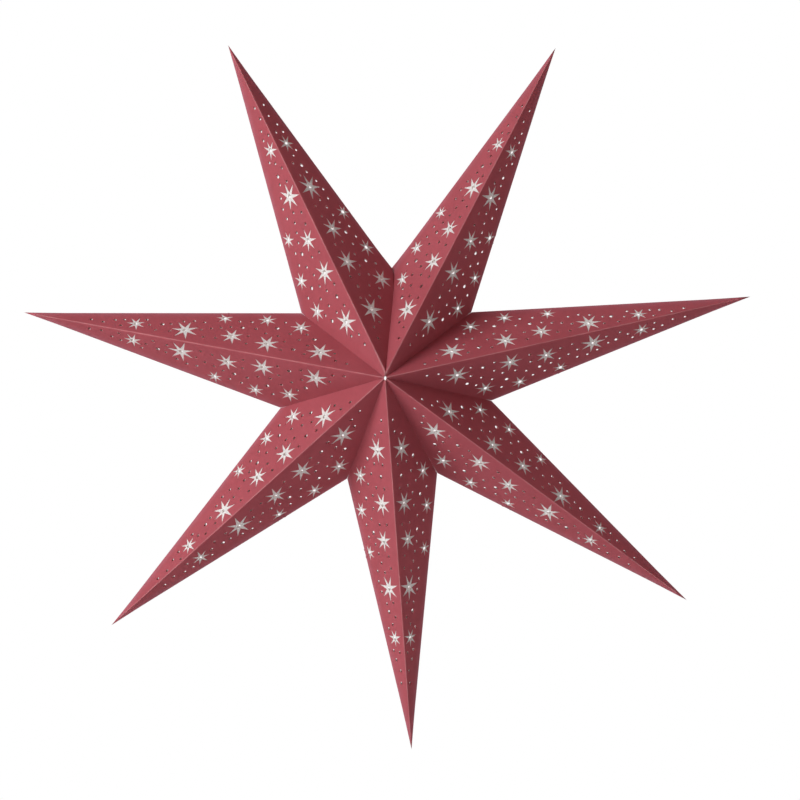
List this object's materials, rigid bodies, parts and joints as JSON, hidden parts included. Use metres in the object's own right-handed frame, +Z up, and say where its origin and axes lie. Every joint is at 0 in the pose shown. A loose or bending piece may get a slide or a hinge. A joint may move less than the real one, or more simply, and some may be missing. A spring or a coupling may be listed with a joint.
{
  "type": "paper star lantern",
  "caption": "Folded card star lantern with hollow points, star cut-outs and punched dots, lined with thin white paper and hung by its top seam.",
  "frame": {"origin": "outer end of the seam between the two upper points, where the star hangs and a lamp cord goes in", "axes": "+Z up as it hangs, -Y towards the viewer of the front, +X to that viewer's right"},
  "size_m": [0.6856, 0.1588, 0.6647],
  "materials": {
    "card": "matt uncoated card",
    "liner": "thin translucent white paper",
    "tape": "double-sided foam tape"
  },
  "bodies": {
    "root": {"point_1": "card", "point_2": "card", "point_3": "card", "point_4": "card", "point_5": "card", "point_6": "card", "point_7": "card", "liner_1": "liner", "liner_2": "liner", "liner_3": "liner", "liner_4": "liner", "liner_5": "liner", "liner_6": "liner", "liner_7": "liner", "seam_tape_front": "tape", "seam_tape_back": "tape"}
  },
  "joints": []
}
